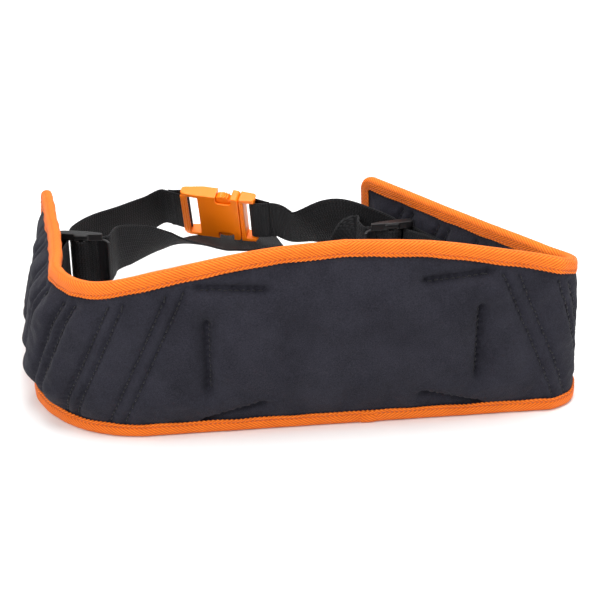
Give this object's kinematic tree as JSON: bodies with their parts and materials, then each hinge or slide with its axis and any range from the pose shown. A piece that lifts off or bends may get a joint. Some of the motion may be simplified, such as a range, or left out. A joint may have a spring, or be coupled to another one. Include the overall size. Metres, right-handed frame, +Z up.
{
  "type": "padded hip belt",
  "caption": "Padded contoured hip belt with bound edges, adjustable webbing straps and a side-release buckle, standing buckled as a ring.",
  "frame": {"origin": "under the middle of the buckled belt's box, on the surface it stands on", "axes": "+X to the right as seen from outside the lumbar pad, +Y from the lumbar pad towards the buckle, +Z up"},
  "size_m": [0.3884, 0.2794, 0.1372],
  "materials": {
    "cover_fabric": "matte woven charcoal fabric, quilted in straight double rows",
    "lining_fabric": "matte dark lining",
    "foam": "closed-cell foam, hidden",
    "board": "flexible plastic sheet, hidden",
    "binding_tape": "orange herringbone binding tape",
    "webbing": "near-black ribbed webbing",
    "thread": "black sewing thread",
    "lock_plastic": "smooth dark moulded plastic",
    "buckle_plastic": "orange moulded plastic, satin"
  },
  "bodies": {
    "pad": {"outer_cover_center": "cover_fabric", "inner_lining_center": "lining_fabric", "foam_center": "foam", "lumbar_board": "board", "binding_center_upper": "binding_tape", "binding_center_lower": "binding_tape", "buckle_socket": "buckle_plastic", "strap_left_loop": "webbing", "strap_left_main": "webbing", "strap_left_tail": "webbing", "bar_tack_left": "thread", "strap_right_main": "webbing", "strap_right_tail": "webbing"},
    "wing_left": {"outer_cover_left": "cover_fabric", "inner_lining_left": "lining_fabric", "foam_left": "foam", "binding_left": "binding_tape", "lock_tab_left": "webbing"},
    "wing_right": {"outer_cover_right": "cover_fabric", "inner_lining_right": "lining_fabric", "foam_right": "foam", "binding_right": "binding_tape", "lock_tab_right": "webbing"},
    "adjuster_left": {"ladder_lock_left": "lock_plastic", "strap_left_wrap": "webbing"},
    "adjuster_right": {"ladder_lock_right": "lock_plastic", "strap_right_wrap": "webbing"},
    "buckle_male": {"buckle_base": "buckle_plastic", "strap_right_loop": "webbing", "bar_tack_right": "thread"},
    "prong_upper": {"prong_upper": "buckle_plastic"},
    "prong_lower": {"prong_lower": "buckle_plastic"}
  },
  "joints": [
    {"name": "wing_left_flex", "type": "hinge", "parent": "pad", "child": "wing_left", "pos_m": [-0.15805, -0.1042, 0.06], "axis": [0.075, 0.0805, 0.9939], "range_deg": [-8, 8], "stiffness_Nm_per_rad": 0.3, "deforming": ["strap_left_main", "strap_left_tail"]},
    {"name": "wing_right_flex", "type": "hinge", "parent": "pad", "child": "wing_right", "pos_m": [0.18224, -0.11658, 0.06], "axis": [-0.0486, 0.0286, 0.9984], "range_deg": [-8, 8], "stiffness_Nm_per_rad": 0.3, "deforming": ["strap_right_main", "strap_right_tail"]},
    {"name": "adjuster_left_swing", "type": "hinge", "parent": "wing_left", "child": "adjuster_left", "pos_m": [-0.16738, 0.03378, 0.056], "axis": [0, 0, 1], "range_deg": [-8, 8], "deforming": ["strap_left_main", "strap_left_tail"]},
    {"name": "adjuster_right_swing", "type": "hinge", "parent": "wing_right", "child": "adjuster_right", "pos_m": [0.09605, 0.02386, 0.056], "axis": [0, 0, 1], "range_deg": [-8, 8], "deforming": ["strap_right_main", "strap_right_tail"]},
    {"name": "buckle_release", "type": "slide", "parent": "pad", "child": "buckle_male", "axis": [0.9391, -0.3418, -0.0349], "range_m": [0, 0.036], "deforming": ["prong_upper", "prong_lower", "strap_right_main"]},
    {"name": "prong_upper_squeeze", "type": "hinge", "parent": "buckle_male", "child": "prong_upper", "pos_m": [-0.02772, 0.10188, 0.06695], "axis": [-0.3311, -0.873, -0.3582], "range_deg": [0, 10], "stiffness_Nm_per_rad": 0.02},
    {"name": "prong_lower_squeeze", "type": "hinge", "parent": "buckle_male", "child": "prong_lower", "pos_m": [-0.02538, 0.11072, 0.04325], "axis": [0.3311, 0.873, 0.3582], "range_deg": [0, 10], "stiffness_Nm_per_rad": 0.02}
  ]
}
